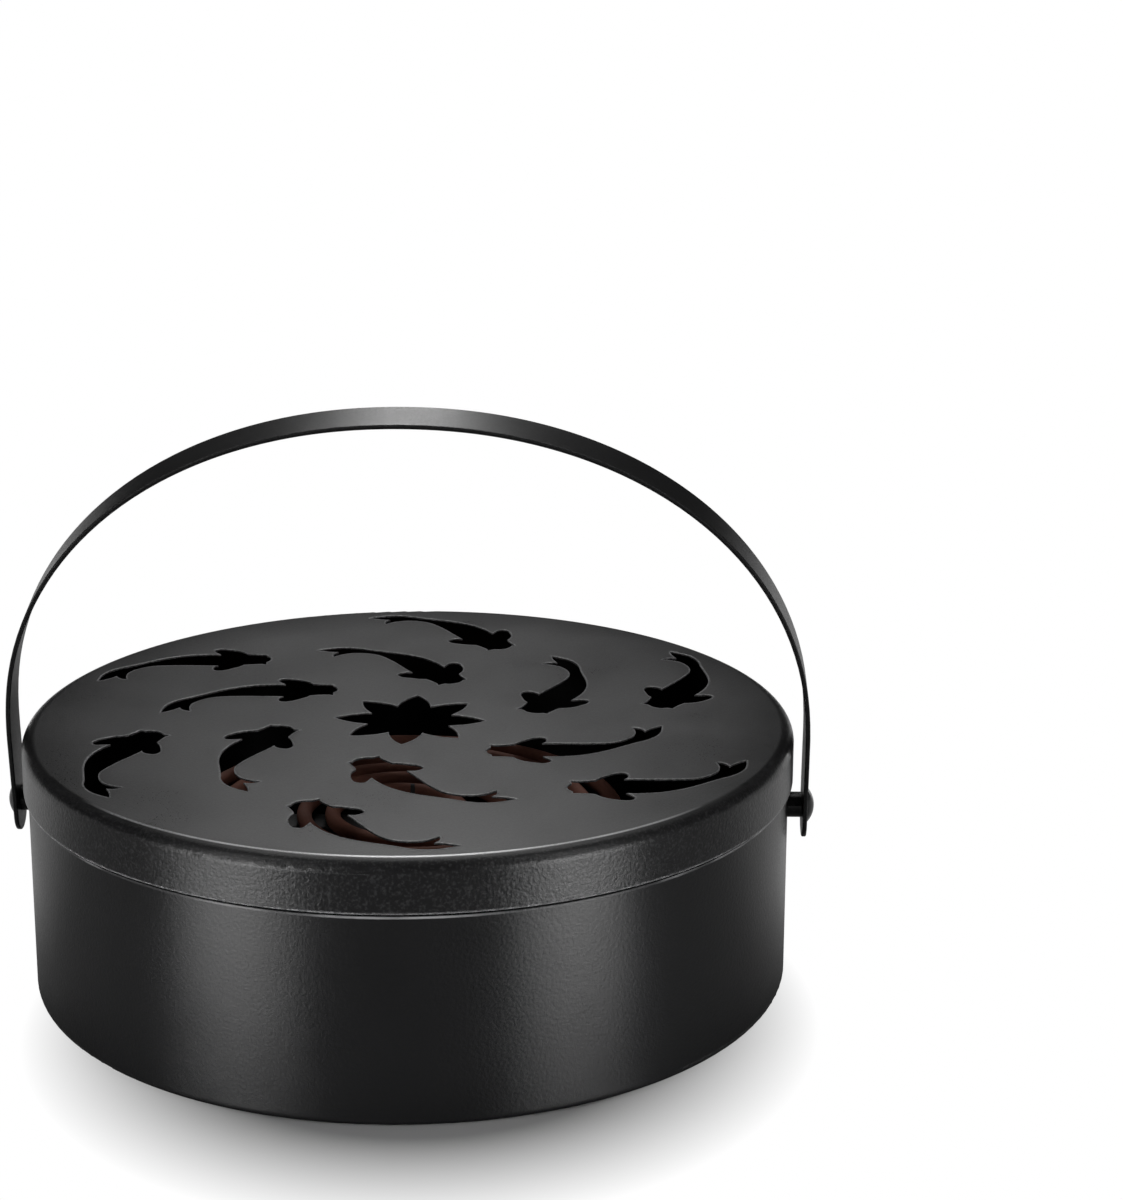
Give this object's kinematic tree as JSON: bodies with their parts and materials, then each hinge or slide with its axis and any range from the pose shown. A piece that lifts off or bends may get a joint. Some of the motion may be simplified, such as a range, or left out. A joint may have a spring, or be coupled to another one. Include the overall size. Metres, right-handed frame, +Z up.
{
  "type": "mosquito coil holder",
  "caption": "Round lidded metal box in which a mosquito coil burns on a stand, with a lift-off lid pierced with koi and a lotus, and a riveted strap handle that swings over.",
  "frame": {"origin": "middle of the underside", "axes": "+X along the handle's pivot line towards the right rivet, -Y to the front, towards which the handle leans, +Z up"},
  "size_m": [0.1588, 0.15, 0.1153],
  "materials": {
    "black_coating": "semi-matte black powder coat with a fine grain",
    "rivet_black": "smooth black lacquer",
    "stand_black": "matte black heat-proof paint",
    "coil_paste": "matte pressed wood paste, reddish brown"
  },
  "bodies": {
    "base": {"base_cup": "black_coating", "rivet_left": "rivet_black", "rivet_right": "rivet_black", "spacer_left": "rivet_black", "spacer_right": "rivet_black", "coil_stand": "stand_black"},
    "lid": {"lid": "black_coating"},
    "handle": {"handle_strap": "black_coating"},
    "coil": {"mosquito_coil": "coil_paste"}
  },
  "joints": [
    {"name": "handle_hinge", "type": "hinge", "parent": "base", "child": "handle", "pos_m": [0, 0, 0.0338], "axis": [1, 0, 0], "range_deg": [-116, 98]},
    {"name": "lid_lift", "type": "slide", "parent": "base", "child": "lid", "axis": [0, 0, 1], "range_m": [0, 0.012]},
    {"name": "coil_lift", "type": "slide", "parent": "base", "child": "coil", "axis": [0, 0, 1], "range_m": [0, 0.009]}
  ]
}
